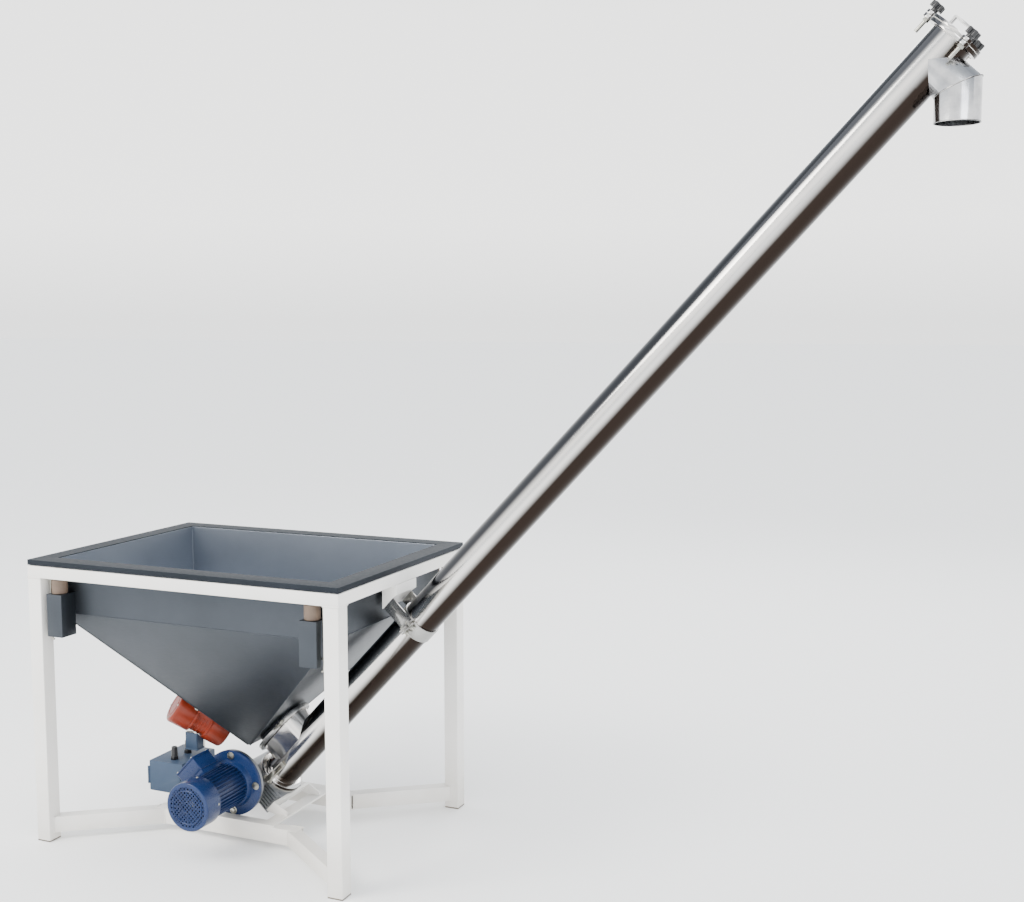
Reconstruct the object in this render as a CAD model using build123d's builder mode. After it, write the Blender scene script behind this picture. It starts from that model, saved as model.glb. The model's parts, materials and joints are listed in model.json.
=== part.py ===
from build123d import *
import math
import os

# A grain auger: a feed hopper on a welded stand, an inclined screw tube beside it, a worm
# gearbox and motor at the foot of the tube, and a down-turned spout at its head.
# Origin on the floor under the middle of the stand, +X the way the tube climbs, +Y to the rear.

# ---- driving dimensions, mm ----
stand_length = 1112.0
stand_depth = 806.0
leg_height = 844.0
leg_size = 50.0
tube_wall = 2.5
ring_height = 38.0
brace_height = 50.0
brace_width = 40.0
brace_lift = 25.0
centre_length = 530.0
centre_depth = 370.0
cap_thickness = 4.0

gasket_thickness = 2.0
rim_height = 16.0
rim_sheet = 3.0
mouth_length = 988.0
mouth_depth = 682.0
hopper_sheet = 2.5
fold_height = 728.0
tip_x = 12.0
tip_height = 279.0
tip_width = 12.0
tip_depth = 124.0

tube_angle = 47.0
axis_height = 82.6
tube_radius = 57.0
auger_wall = 2.0
foot_station = 134.0
head_station = 3075.0
flange_radius = 75.0
flange_thickness = 10.0
spout_station = 2993.0
spout_drop = 93.0
spout_length = 87.0

flight_radius = 52.0
flight_pitch = 100.0
flight_thickness = 3.0
shaft_radius = 20.0
journal_radius = 12.5
running_gap = 0.05
seat_gap = 0.2
free_gap = 0.3

chute_start = 214.0
chute_end = 300.0
chute_radius = 54.0
chute_height = 94.0
chute_flange = 6.0
sleeve_thickness = 6.0
spigot_radius = 46.0
clamp_radius = 67.0

gear_station = 75.0
gear_centres = 63.0
gear_half = 41.0
worm_starts = 2
wheel_teeth = 30
motor_flange_radius = 104.0
motor_face = 148.0
motor_length = 228.0
motor_radius = 68.0

band_station = 872.0
band_width = 46.0
band_thickness = 4.0

box_length = 130.0
box_depth = 170.0
box_height = 100.0
box_sheet = 2.0

plate_left, plate_right = -60.0, 180.0
plate_thickness = 6.0
bearer_width = 45.0
shelf_start, shelf_end = 74.0, 114.0
shelf_height = -76.0
shelf_thickness = 8.0
shelf_half = 100.0
bracket_drop = 78.0
bracket_half = 64.0
bracket_wall = 4.0
saddle_top = 95.0
spigot_low = 80.0
channel_x = 455.0
channel_width = 58.0
channel_top = 797.0
channel_height = 133.0
buffer_radius = 24.0
float_travel = 2.0
rod_low = 658.0
knob_angles = (0, 120, 240)
knob_circle = 82.0
ear_radius = 14.0
cover_thickness = 8.0
bush_length = 30.0
bush_radius = 20.0
stud_reach = 26.0
handle_width = 24.0
handle_rise = 26.0
shaft_start = 30.0
housing_flange = 12.0
seal_radius = 24.0
hook_rise = 62.0

housing_radius = 58.0
worm_barrel = 76.0
barrel_radius = 36.0
bearing_radius = 32.0
wheel_radius = 44.0
worm_radius = 18.3
worm_face = 136.0
fin_count = 7
fin_pitch = 11.0
rotor_journal = 9.5
motor_bolt_circle = 88.0
motor_fins = 36
cowl_length = 66.0
cowl_radius = 75.0
terminal_height = 42.0

box_x = -247.0
box_y = -65.0
box_low = 115.0
hinge_radius = 4.0
hinge_pin = 2.0

vibrator_y = -36.0
vibrator_up = 185.0
vibrator_skew = 35.0
vibrator_drop = 92.0
vibrator_length = 196.0
vibrator_radius = 46.0
cap_radius = 55.0
cap_length = 66.0
connection_x = -202.0
connection_length = 47.0
connection_depth = 38.0
connection_height = 52.0
connection_y = -60.0
connection_top = 296.0

# ---- values worked out from them ----
ring_top = leg_height + ring_height
rim_base = ring_top + gasket_thickness
rim_top = rim_base + rim_height
brace_top = brace_lift + brace_height
leg_x = (stand_length - leg_size) / 2
leg_y = (stand_depth - leg_size) / 2
mouth_x = mouth_length / 2
mouth_y = mouth_depth / 2
turn = math.radians(tube_angle)
along = Vector(math.cos(turn), 0, math.sin(turn))
square_to = Vector(-math.sin(turn), 0, math.cos(turn))
axis_foot = Vector(0, 0, axis_height)
left, right, front, rear = -1, 1, -1, 1
corners = [(sx, sy) for sx in (left, right) for sy in (front, rear)]

os.makedirs("parts", exist_ok=True)


def at(station, height=0.0, y=0.0):
    """A point given by its place along the tube's axis and its height square to it."""
    return axis_foot + along * station + square_to * height + Vector(0, y, 0)


def across(station):
    """Section plane of the tube: x square to the tube and upwards, y to the front."""
    return Plane(origin=at(station), x_dir=square_to, z_dir=along)


def over(height, station=0.0):
    """Plane parallel to the tube: x along the tube, y to the rear, z away from the tube."""
    return Plane(origin=at(station, height), x_dir=along, z_dir=square_to)


def facing_front(y, station=0.0, height=0.0):
    """Upright plane at y: x along the tube, y square to the tube, z to the front."""
    return Plane(origin=at(station, height, y), x_dir=along, z_dir=(0, -1, 0))


def write(part, label):
    part.label = label
    export_step(part, f"parts/{label}.step")
    solids = part.solids()
    print(f"{label}: {len(solids)} solids, {sum(s.volume for s in solids) / 1000:.1f} cm3")


def group(pieces, label):
    """One node made of separate solids."""
    write(Compound(children=[s for piece in pieces for s in piece.solids()]), label)


def spread(piece, places):
    """Copies of a piece at the given locations, the piece being made at the origin."""
    return [place * piece for place in places]


# ---- stand ----
def make_legs():
    with BuildPart() as leg:
        with BuildSketch(Plane.XY.offset(cap_thickness)):
            Rectangle(leg_size, leg_size)
            Rectangle(leg_size - 2 * tube_wall, leg_size - 2 * tube_wall, mode=Mode.SUBTRACT)
        extrude(amount=leg_height - cap_thickness)
        fillet(leg.edges().filter_by(Axis.Z).group_by(SortBy.DISTANCE)[-1], 3.0)
    with BuildPart() as cap:
        with BuildSketch(Plane.XY):
            RectangleRounded(leg_size, leg_size, 3.0)
        extrude(amount=cap_thickness)
        with BuildSketch(Plane.XY.offset(cap_thickness)):
            Rectangle(leg_size - 2 * tube_wall - 1.0, leg_size - 2 * tube_wall - 1.0)
        extrude(amount=3 * cap_thickness)
    places = [Pos(sx * leg_x, sy * leg_y, 0) for sx, sy in corners]
    group(spread(leg.part, places), "legs")
    group(spread(cap.part, places), "foot_caps")


def mitred_rail(length, width, height):
    """A rectangular tube along X with both ends mitred inwards, its outer face at y = 0."""
    with BuildPart() as rail:
        with BuildSketch(Plane.YZ.offset(-length / 2)):
            with Locations((width / 2, height / 2)):
                Rectangle(width, height)
                Rectangle(width - 2 * tube_wall, height - 2 * tube_wall, mode=Mode.SUBTRACT)
        extrude(amount=length)
        for end in (left, right):
            cut = Plane(origin=(end * length / 2, 0, 0), z_dir=(-end, -1, 0))
            split(bisect_by=cut, keep=Keep.TOP)
    return rail.part


def make_top_ring():
    pieces = []
    for angle, length, reach in ((0, stand_length, stand_depth), (180, stand_length, stand_depth),
                                 (90, stand_depth, stand_length), (270, stand_depth, stand_length)):
        rail = mitred_rail(length, leg_size, ring_height)
        pieces.append(Rot(0, 0, angle) * Pos(0, -reach / 2, leg_height) * rail)
    group(pieces, "top_ring")


def straight_tube(length, width, height, wall=tube_wall):
    """A rectangular tube along X from x = 0, centred on y = 0, its underside at z = 0."""
    with BuildPart() as tube:
        with BuildSketch(Plane.YZ):
            with Locations((0, height / 2)):
                Rectangle(width, height)
                Rectangle(width - 2 * wall, height - 2 * wall, mode=Mode.SUBTRACT)
        extrude(amount=length)
    return tube.part


def make_base():
    side = centre_depth - 2 * brace_width
    pieces = []
    for sy in (front, rear):
        tube = straight_tube(centre_length, brace_width, brace_height)
        pieces.append(Pos(-centre_length / 2, sy * (centre_depth - brace_width) / 2, brace_lift) * tube)
    for sx in (left, right):
        tube = straight_tube(side, brace_width, brace_height)
        x = sx * (centre_length - brace_width) / 2
        pieces.append(Pos(x, -side / 2, brace_lift) * Rot(0, 0, 90) * tube)
    group(pieces, "centre_frame")

    reach = math.hypot(leg_x - centre_length / 2 + brace_width, leg_y - centre_depth / 2 + brace_width)
    angle = math.degrees(math.atan2(leg_y - centre_depth / 2, leg_x - centre_length / 2))
    braces = []
    for sx, sy in corners:
        heading = math.degrees(math.atan2(-sy * math.sin(math.radians(angle)),
                                          -sx * math.cos(math.radians(angle))))
        tube = straight_tube(reach, brace_width, brace_height)
        placed = Pos(sx * leg_x, sy * leg_y, brace_lift) * Rot(0, 0, heading) * tube
        leg = Pos(sx * leg_x, sy * leg_y, leg_height / 2) * Box(leg_size, leg_size, leg_height)
        middle = Pos(0, 0, brace_lift + brace_height / 2) * Box(centre_length, centre_depth, brace_height)
        braces.append(placed - leg - middle)
    group(braces, "diagonal_braces")


def make_gearbox_mount():
    """A plate across the centre frame, open under the drive, with a sloping shelf for the gearbox."""
    floor = brace_top + plate_thickness
    bearer = plate_right - bearer_width
    with BuildPart() as cradle:
        with BuildSketch(Plane.XY.offset(brace_top)):
            with Locations(((plate_left + plate_right) / 2, 0)):
                RectangleRounded(plate_right - plate_left, centre_depth, 6.0)
            with Locations(((plate_left + bearer) / 2 - 1, 0)):
                Rectangle(bearer - plate_left + 2, centre_depth - 2 * brace_width + 8, mode=Mode.SUBTRACT)
        extrude(amount=plate_thickness)
        with BuildSketch(over(shelf_height)):
            with Locations(((shelf_start + shelf_end) / 2, 0)):
                Rectangle(shelf_end - shelf_start, 2 * shelf_half)
        extrude(amount=shelf_thickness)
        low = at(shelf_start, shelf_height + shelf_thickness / 2)
        high = at(shelf_end, shelf_height + shelf_thickness / 2)
        for y in (front * shelf_half, rear * (shelf_half - plate_thickness)):
            with BuildSketch(Plane.XZ.offset(-y)):
                with BuildLine():
                    Polyline((bearer, floor - 1), (plate_right - 5, floor - 1), (plate_right - 5, floor + 12),
                             (high.X, high.Z), (low.X, low.Z), close=True)
                make_face()
            extrude(amount=-plate_thickness)
    write(cradle.part, "gearbox_cradle")


def make_tube_bracket():
    inner = stand_length / 2 - leg_size
    low = leg_height - bracket_drop
    depth = 2 * bracket_half
    with BuildPart() as bracket:
        for grow, top in ((0.0, 0.0), (-bracket_wall, 1.0)):
            mode = Mode.ADD if grow == 0 else Mode.SUBTRACT
            with BuildSketch(Plane.XZ.offset(bracket_half + grow)):
                with BuildLine():
                    Polyline((inner - grow, leg_height + top), (inner + leg_size + grow, leg_height + top),
                             (inner + leg_size + grow, leg_height - 30 - grow / 2),
                             (inner + 34 + grow / 8, low + 36 - 1.3 * grow),
                             (inner - grow, low - 1.8 * grow), close=True)
                make_face()
            extrude(amount=-depth - 2 * grow, mode=mode)
    write(bracket.part, "tube_bracket")


def make_pipe_clamp():
    """Two half bands on the tube, the upper one with legs up to the bracket."""
    outer = tube_radius + seat_gap + band_thickness
    ear = 24.0
    half = band_width / 2
    with BuildPart() as saddle:
        with BuildSketch(across(band_station - half)):
            Circle(outer)
            Circle(tube_radius + seat_gap, mode=Mode.SUBTRACT)
            with Locations((-outer / 2 + 1, 0)):
                Rectangle(outer + 4, 4 * outer, mode=Mode.SUBTRACT)
            for side in (left, right):
                with Locations(((saddle_top + 3) / 2, side * (outer - band_thickness / 2))):
                    Rectangle(saddle_top - 3, band_thickness)
                with Locations((3 + band_thickness / 2, side * (outer + ear / 2 - 1))):
                    Rectangle(band_thickness, ear)
        extrude(amount=band_width)
        for side in (left, right):
            with BuildSketch(Plane(origin=at(band_station, saddle_top / 2 + 10, -side * (outer - 0.5)),
                                   x_dir=along, z_dir=(0, -side, 0))):
                SlotOverall(10, 7)
                Rectangle(8, saddle_top - 40)
            extrude(amount=4)
    with BuildPart() as strap:
        with BuildSketch(across(band_station - half)):
            Circle(outer)
            Circle(tube_radius + seat_gap, mode=Mode.SUBTRACT)
            with Locations((outer / 2 - 1, 0)):
                Rectangle(outer + 4, 4 * outer, mode=Mode.SUBTRACT)
            for side in (left, right):
                with Locations((-3 - band_thickness / 2, side * (outer + ear / 2 - 1))):
                    Rectangle(band_thickness, ear)
        extrude(amount=band_width)
    bolt_out = outer + ear / 2 + 1
    with BuildPart() as bolt:
        with BuildSketch(Plane.XY.offset(-22)):
            Circle(4.0)
        extrude(amount=36)
        with BuildSketch(Plane.XY.offset(3 + band_thickness)):
            RegularPolygon(7.5, 6)
        extrude(amount=6)
        with BuildSketch(Plane.XY.offset(-3 - band_thickness - 7)):
            RegularPolygon(7.5, 6)
        extrude(amount=7)
    spots = [Plane(origin=at(band_station + shift, 0, side * bolt_out), x_dir=along, z_dir=square_to).location
             for side in (left, right) for shift in (-12, 12)]
    holes = [spot * Cylinder(4.2, 60) for spot in spots]
    write(saddle.part - holes, "clamp_saddle")
    write(strap.part - holes, "clamp_strap")
    return spread(bolt.part, spots)


# ---- hopper ----
def frame_sketch(length, depth, inner_length, inner_depth, radius=0.5):
    RectangleRounded(length, depth, radius + 2)
    RectangleRounded(inner_length, inner_depth, radius, mode=Mode.SUBTRACT)


def make_rim():
    with BuildPart() as gasket:
        with BuildSketch(Plane.XY.offset(ring_top)):
            frame_sketch(stand_length - 16, stand_depth - 16, stand_length - 2 * leg_size + 6,
                         stand_depth - 2 * leg_size + 6)
        extrude(amount=gasket_thickness)
    write(gasket.part, "rim_gasket")

    with BuildPart() as rim:
        with BuildSketch(Plane.XY.offset(rim_top - rim_sheet)):
            frame_sketch(stand_length, stand_depth, mouth_length - 2 * hopper_sheet,
                         mouth_depth - 2 * hopper_sheet)
        extrude(amount=rim_sheet)
        with BuildSketch(Plane.XY.offset(rim_base)):
            frame_sketch(stand_length, stand_depth, stand_length - 2 * rim_sheet,
                         stand_depth - 2 * rim_sheet, 0.5)
        extrude(amount=rim_height - rim_sheet)
        with BuildSketch(Plane.XY.offset(rim_base)):
            frame_sketch(stand_length, stand_depth, stand_length - 40, stand_depth - 40)
        extrude(amount=rim_sheet)
        fillet(rim.edges().filter_by(Axis.Z, reverse=True).group_by(Axis.Z)[-1], 1.2)
    write(rim.part, "hopper_rim")


def funnel(shrink, top, bottom):
    """The funnel's solid, its four sides moved inwards by shrink."""
    with BuildPart() as body:
        with BuildSketch(Plane.XY.offset(top)):
            Rectangle(mouth_length - 2 * shrink, mouth_depth - 2 * shrink)
        with BuildSketch(Plane.XY.offset(bottom)):
            with Locations((tip_x, 0)):
                Rectangle(tip_width - 2 * shrink, tip_depth - 2 * shrink)
        loft(ruled=True)
    return body.part


def slot_solid(radius, low, high):
    """An obround prism square to the tube, over the tube's inlet."""
    with BuildPart() as prism:
        with BuildSketch(over(low)):
            with Locations(((chute_start + chute_end) / 2, 0)):
                SlotCenterToCenter(chute_end - chute_start, 2 * radius)
        extrude(amount=high - low)
    return prism.part


def ring_of_plates(low_outer, low_inner, high_outer, high_inner):
    """Four mitred plates round a rectangle. Each level is (centre x, half length, half depth, z)."""
    def corner(level, number):
        sx, sy = ((left, front), (right, front), (right, rear), (left, rear))[number % 4]
        return (level[0] + sx * level[1], sy * level[2], level[3])

    plates = []
    for number in range(4):
        outer, inner = ([corner(low, number), corner(low, number + 1),
                         corner(high, number + 1), corner(high, number)]
                        for low, high in ((low_outer, high_outer), (low_inner, high_inner)))
        plates.append(Solid.make_loft([Wire.make_polygon(outer), Wire.make_polygon(inner)], ruled=True))
    return plates


def make_hopper():
    fold = (0, mouth_x, mouth_y, fold_height)
    fold_inside = (0, mouth_x - hopper_sheet, mouth_y - hopper_sheet, fold_height)
    brim = rim_top - rim_sheet
    skirt = ring_of_plates(fold, fold_inside, fold[:3] + (brim,), fold_inside[:3] + (brim,))
    tip = (tip_x, tip_width / 2, tip_depth / 2, tip_height)
    tip_inside = (tip_x, tip_width / 2 - hopper_sheet, tip_depth / 2 - hopper_sheet, tip_height + hopper_sheet)
    slopes = ring_of_plates(tip, tip_inside, fold, fold_inside)
    with BuildPart() as sole:
        for middle, half_length, half_depth, z in (tip, tip_inside):
            with BuildSketch(Plane.XY.offset(z)):
                with Locations((middle, 0)):
                    Rectangle(2 * half_length, 2 * half_depth)
        loft(ruled=True)
    slopes[1] = slopes[1] - slot_solid(spigot_radius - 2, spigot_low - 1, 165)
    group(skirt + slopes + [sole.part], "hopper_shell")
    spigot = slot_solid(spigot_radius, spigot_low, 170) - slot_solid(spigot_radius - 2, spigot_low - 1, 175)
    write(spigot - funnel(0, fold_height, tip_height), "outlet_spigot")


def make_corner_mounts():
    """Channels on the hopper's front and rear skirts, each with a rubber buffer under the ring."""
    brackets, buffers, rods = [], [], []
    depth = stand_depth / 2 - mouth_y
    for sx, sy in corners:
        with BuildPart() as channel:
            with BuildSketch(Plane.XY.offset(channel_top - channel_height)):
                with Locations((sx * channel_x, sy * (mouth_y + depth / 2))):
                    Rectangle(channel_width, depth)
                    Rectangle(channel_width - 6, depth - 6, mode=Mode.SUBTRACT)
            extrude(amount=channel_height)
            with BuildSketch(Plane.XY.offset(channel_top - 4)):
                with Locations((sx * channel_x, sy * (mouth_y + depth / 2))):
                    Rectangle(channel_width, depth)
            extrude(amount=4)
        brackets.append(channel.part)
        y = sy * (mouth_y + depth / 2 + 3)
        with BuildPart() as buffer:
            with BuildSketch(Plane.XY.offset(channel_top)):
                with Locations((sx * channel_x, y)):
                    Circle(buffer_radius)
            extrude(amount=leg_height - free_gap - float_travel - channel_top)
            chamfer(buffer.edges().filter_by(GeomType.CIRCLE), 2.0)
        buffers.append(buffer.part)
        rod_x = sx * (channel_x + channel_width / 2 + 7)
        with BuildPart() as rod:
            with BuildSketch(Plane.XY.offset(rod_low)):
                with Locations((rod_x, y)):
                    Circle(3.0)
            extrude(amount=leg_height - rod_low)
            for height in (rod_low + 26, leg_height - 6):
                with BuildSketch(Plane.XY.offset(height)):
                    with Locations((rod_x, y)):
                        RegularPolygon(6.3, 6)
                extrude(amount=6)
            with BuildSketch(Plane(origin=(rod_x, y, rod_low), x_dir=(0, 1, 0), z_dir=(0, 0, -1))) as foot:
                Circle(3.0)
            bend = Axis((rod_x + sx * -8, y, rod_low), (0, 1, 0))
            revolve(foot.sketch, axis=bend, revolution_arc=sx * 90)
        rods.append(rod.part)
    group(brackets, "corner_channels")
    group(buffers, "rubber_buffers")
    group(rods, "hanger_rods")


# ---- tube ----
def make_auger_tube():
    reach = head_station - foot_station
    bore = tube_radius - auger_wall
    with BuildPart() as outer:
        with BuildSketch(across(foot_station)):
            Circle(tube_radius)
        extrude(amount=reach)
    with BuildPart() as inner:
        with BuildSketch(across(foot_station - 1)):
            Circle(bore)
        extrude(amount=reach + 2)
    with BuildPart() as branch:
        with BuildSketch(Plane(origin=at(spout_station), x_dir=along, z_dir=-square_to)):
            Circle(bore)
        extrude(amount=2 * tube_radius)
    flare = slot_solid(chute_radius + 9, chute_height - chute_flange, chute_height)
    chute = slot_solid(chute_radius, 0, chute_height) + flare
    way_in = slot_solid(chute_radius - auger_wall, 0, chute_height + 1)
    tube = outer.part - inner.part - way_in - branch.part
    group([tube, chute - outer.part - way_in], "auger_tube")

    with BuildPart() as foot:
        with BuildSketch(across(foot_station)):
            Circle(flange_radius)
            Circle(tube_radius + seat_gap, mode=Mode.SUBTRACT)
        extrude(amount=flange_thickness)
        chamfer(foot.edges().filter_by(GeomType.CIRCLE).group_by(SortBy.RADIUS)[-1], 1.0)

    with BuildPart() as head:
        with BuildSketch(across(head_station - flange_thickness)):
            Circle(flange_radius)
            for angle in knob_angles:
                with Locations(Rot(0, 0, angle) * Pos(knob_circle, 0)):
                    Circle(ear_radius)
            Circle(tube_radius + seat_gap, mode=Mode.SUBTRACT)
        extrude(amount=flange_thickness)
    studs = [across(head_station).location * Rot(0, 0, angle) * Pos(knob_circle, 0, 0) for angle in knob_angles]
    holes = [spot * Cylinder(5.3, 60) for spot in studs]
    group([foot.part, head.part - holes], "tube_flanges")
    return studs


def mitred_pipe(radius, extra):
    """The spout's outside or bore: a branch square to the tube, mitred to an upright pipe."""
    corner = at(spout_station, -spout_drop)
    seam = Plane(origin=corner, x_dir=(0, 1, 0), z_dir=(Vector(0, 0, -1) - square_to).normalized())
    with BuildPart() as branch:
        with BuildSketch(Plane(origin=at(spout_station), x_dir=along, z_dir=-square_to)):
            Circle(radius)
        extrude(amount=spout_drop + 2 * radius)
        split(bisect_by=seam, keep=Keep.BOTTOM)
    with BuildPart() as pipe:
        with BuildSketch(Plane(origin=corner + Vector(0, 0, -spout_length - extra), x_dir=(1, 0, 0),
                               z_dir=(0, 0, 1))):
            Circle(radius)
        extrude(amount=spout_length + extra + 2 * radius)
        split(bisect_by=seam, keep=Keep.TOP)
    return branch.part + pipe.part


def make_spout():
    with BuildPart() as tube:
        with BuildSketch(across(spout_station - 3 * tube_radius)):
            Circle(tube_radius)
        extrude(amount=6 * tube_radius)
    spout = mitred_pipe(tube_radius, 0) - mitred_pipe(tube_radius - auger_wall, 1) - tube.part
    write(spout.solids().sort_by(SortBy.VOLUME)[-1], "spout")


def make_head(studs):
    cover_base = head_station + gasket_thickness
    with BuildPart() as gasket:
        with BuildSketch(across(head_station)):
            Circle(flange_radius - 2)
            Circle(tube_radius - auger_wall, mode=Mode.SUBTRACT)
        extrude(amount=gasket_thickness)
    write(gasket.part, "cover_gasket")
    with BuildPart() as cover:
        with BuildSketch(across(cover_base)):
            Circle(flange_radius)
            for angle in knob_angles:
                with Locations(Rot(0, 0, angle) * Pos(knob_circle, 0)):
                    Circle(ear_radius)
        extrude(amount=cover_thickness)
        with BuildSketch(across(cover_base - bush_length + cover_thickness)):
            Circle(bush_radius + 8)
        extrude(amount=bush_length)
        with BuildSketch(across(cover_base + cover_thickness)):
            Circle(bush_radius + 8)
        extrude(amount=4)
    with BuildPart() as cavity:
        with BuildSketch(across(cover_base - bush_length + cover_thickness - 1)):
            Circle(bush_radius)
        extrude(amount=bush_length + 1)
    with BuildPart() as handle:
        with BuildSketch(facing_front(handle_width / 2, cover_base + cover_thickness)):
            with BuildLine():
                Polyline((-1, 34), (handle_rise, 34), (handle_rise + 4, 30), (handle_rise + 4, -30),
                         (handle_rise, -34), (-1, -34), (-1, -28), (handle_rise - 2, -28),
                         (handle_rise - 2, 28), (-1, 28), close=True)
            make_face()
        extrude(amount=handle_width)
    holes = [spot * Cylinder(5.3, 80) for spot in studs]
    write(cover.part - cavity.part - holes + handle.part, "end_cover")
    with BuildPart() as bush:
        with BuildSketch(across(cover_base - bush_length + cover_thickness)):
            Circle(bush_radius)
            Circle(journal_radius + running_gap, mode=Mode.SUBTRACT)
        extrude(amount=bush_length)
    write(bush.part, "head_bush")

    with BuildPart() as stud:
        Cylinder(5.0, 50 + stud_reach, align=(Align.CENTER, Align.CENTER, Align.MIN))
        with BuildSketch(Plane.XY.offset(50 - flange_thickness - 8)):
            RegularPolygon(8.5, 6)
        extrude(amount=8)
        chamfer(stud.edges().filter_by(GeomType.CIRCLE).sort_by(Axis.Z)[-1], 1.0)
    group([spot * Pos(0, 0, -50) * stud.part for spot in studs], "cover_studs")

    for number, (spot, angle) in enumerate(zip(studs, knob_angles), 1):
        with BuildPart() as knob:
            with BuildSketch(Plane.XY):
                Circle(9.0)
            extrude(amount=8)
            with BuildSketch(Plane.XY.offset(8)):
                Circle(12.0)
                with PolarLocations(13.0, 5):
                    Circle(6.5)
            extrude(amount=16)
            fillet(knob.edges().group_by(Axis.Z)[-1], 2.5)
            with BuildSketch(Plane.XY):
                Circle(5.0 + free_gap)
            extrude(amount=19, mode=Mode.SUBTRACT)
        lift = gasket_thickness + cover_thickness + free_gap
        write(spot * Pos(0, 0, lift) * knob.part, f"cover_knob_{number}")


def make_screw():
    with BuildPart() as shaft:
        for start, end, radius in ((shaft_start, foot_station + 20, journal_radius),
                                   (foot_station + 20, head_station - 20, shaft_radius),
                                   (head_station - 20, head_station + gasket_thickness + cover_thickness - 1,
                                    journal_radius)):
            with BuildSketch(across(start)):
                Circle(radius)
            extrude(amount=end - start)
    write(shaft.part, "screw_shaft")

    inner = shaft_radius + 0.1
    start = foot_station + 22
    turns = int((head_station - 24 - start) // flight_pitch)
    with BuildPart() as flight:
        with BuildLine():
            Helix(flight_pitch, flight_pitch, inner)
        with BuildSketch(Plane(origin=(inner, 0, 0), x_dir=(1, 0, 0), z_dir=(0, 1, 0))):
            with Locations(((flight_radius - inner) / 2, 0)):
                Rectangle(flight_radius - inner, flight_thickness)
        sweep(is_frenet=True)
    spots = [across(start + number * flight_pitch).location for number in range(turns)]
    group(spread(flight.part, spots), "screw_flight")


def make_foot():
    """Foot plate with its seal, and the inlet's sleeve and band."""
    with BuildPart() as plate:
        with BuildSketch(across(gear_station + gear_half + housing_flange)):
            Circle(flange_radius)
            Circle(seal_radius, mode=Mode.SUBTRACT)
        extrude(amount=foot_station - gear_station - gear_half - housing_flange)
    write(plate.part, "foot_plate")
    with BuildPart() as seal:
        with BuildSketch(across(gear_station + gear_half + housing_flange)):
            Circle(seal_radius)
            Circle(journal_radius + running_gap, mode=Mode.SUBTRACT)
        extrude(amount=foot_station - gear_station - gear_half - housing_flange)
    write(seal.part, "shaft_seal")
    sleeve = (slot_solid(chute_radius + 9, chute_height, chute_height + sleeve_thickness)
              - slot_solid(spigot_radius + 1.5, chute_height - 1, chute_height + sleeve_thickness + 1))
    write(sleeve, "inlet_seal")
    low = chute_height - chute_flange - 1
    band = (slot_solid(clamp_radius, low, chute_height + sleeve_thickness + 1)
            - slot_solid(chute_radius + 9 + seat_gap, low - 1, chute_height + sleeve_thickness + 2))
    lug_s = chute_end - 4
    gap = facing_front(-clamp_radius + 8, lug_s, (low + chute_height + sleeve_thickness + 1) / 2)
    band = band - gap.location * Pos(0, 0, 6) * Box(9, 40, 24)
    write(band, "inlet_band")
    with BuildPart() as bolt:
        for side in (left, right):
            with BuildSketch(gap.offset(-7.8)):
                with Locations((side * 7.5, 0)):
                    Rectangle(6, 13.6)
            extrude(amount=22)
    lugs = bolt.part - slot_solid(clamp_radius, low - 4, chute_height + sleeve_thickness + 6)
    rod = Plane(origin=at(lug_s - 24, (low + chute_height + sleeve_thickness + 1) / 2, -clamp_radius - 7),
                x_dir=(0, 0, 1), z_dir=along).location * Cylinder(3.0, 48, align=(Align.CENTER, Align.CENTER,
                                                                                Align.MIN))
    nut = Plane(origin=at(lug_s + 11, (low + chute_height + sleeve_thickness + 1) / 2, -clamp_radius - 7),
                x_dir=square_to, z_dir=along).location * Cylinder(6.0, 8, align=(Align.CENTER, Align.CENTER,
                                                                                 Align.MIN))
    return [lugs + rod + nut]


def make_latches():
    """Toggle latches on the tube's front and rear, each a lever and wire bail on a fixed pin."""
    pin_x = flange_radius + 9
    wire_x = tube_radius + 5.5
    wire_top = hook_rise + 9
    lean = math.degrees(math.atan2(pin_x - 3 - wire_x, wire_top))
    arm = math.hypot(pin_x - 3 - wire_x, wire_top)
    fixed = []
    for name, side in (("front", 1), ("rear", -1)):
        base = across(foot_station).location * Rot(0, 0, 90 * side)
        with BuildPart() as ears:
            for y in (left, right):
                with BuildSketch(Plane.XZ.offset(y * 13 + 2)):
                    with Locations((flange_radius + 7, 0)):
                        Rectangle(14, 10)
                extrude(amount=-4)
            with BuildSketch(Plane.YZ.offset(flange_radius)):
                Rectangle(30, 10)
            extrude(amount=3)
            with Locations((pin_x, 0, 0)):
                Cylinder(2.0, 30, rotation=(90, 0, 0))
        with BuildPart() as hook:
            with BuildSketch(Plane.XY.offset(hook_rise)):
                with Locations((tube_radius + 4.5, 0)):
                    Rectangle(8.4, 10)
            extrude(amount=7)
        fixed += [base * ears.part, base * hook.part]
        with BuildPart() as lever:
            with BuildSketch(Plane.XZ.offset(9)):
                with Locations((pin_x, 0)):
                    Circle(4.4)
            extrude(amount=-18)
            with BuildSketch(Plane.YZ.offset(pin_x + 2.6)):
                with Locations((0, 18)):
                    SlotCenterToCenter(34, 13, rotation=90)
            extrude(amount=2.4)
            for y in (left, right):
                with Locations(Location((pin_x - 3, y * 7.4, 0), (0, -lean, 0))):
                    Cylinder(1.6, arm, align=(Align.CENTER, Align.CENTER, Align.MIN))
            with Locations((wire_x, 0, wire_top)):
                Cylinder(1.6, 18, rotation=(90, 0, 0))
            with Locations((pin_x, 0, 0)):
                Cylinder(2.0 + running_gap, 40, rotation=(90, 0, 0), mode=Mode.SUBTRACT)
        write(base * lever.part, f"latch_{name}")
    group(fixed, "latch_brackets")


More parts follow.
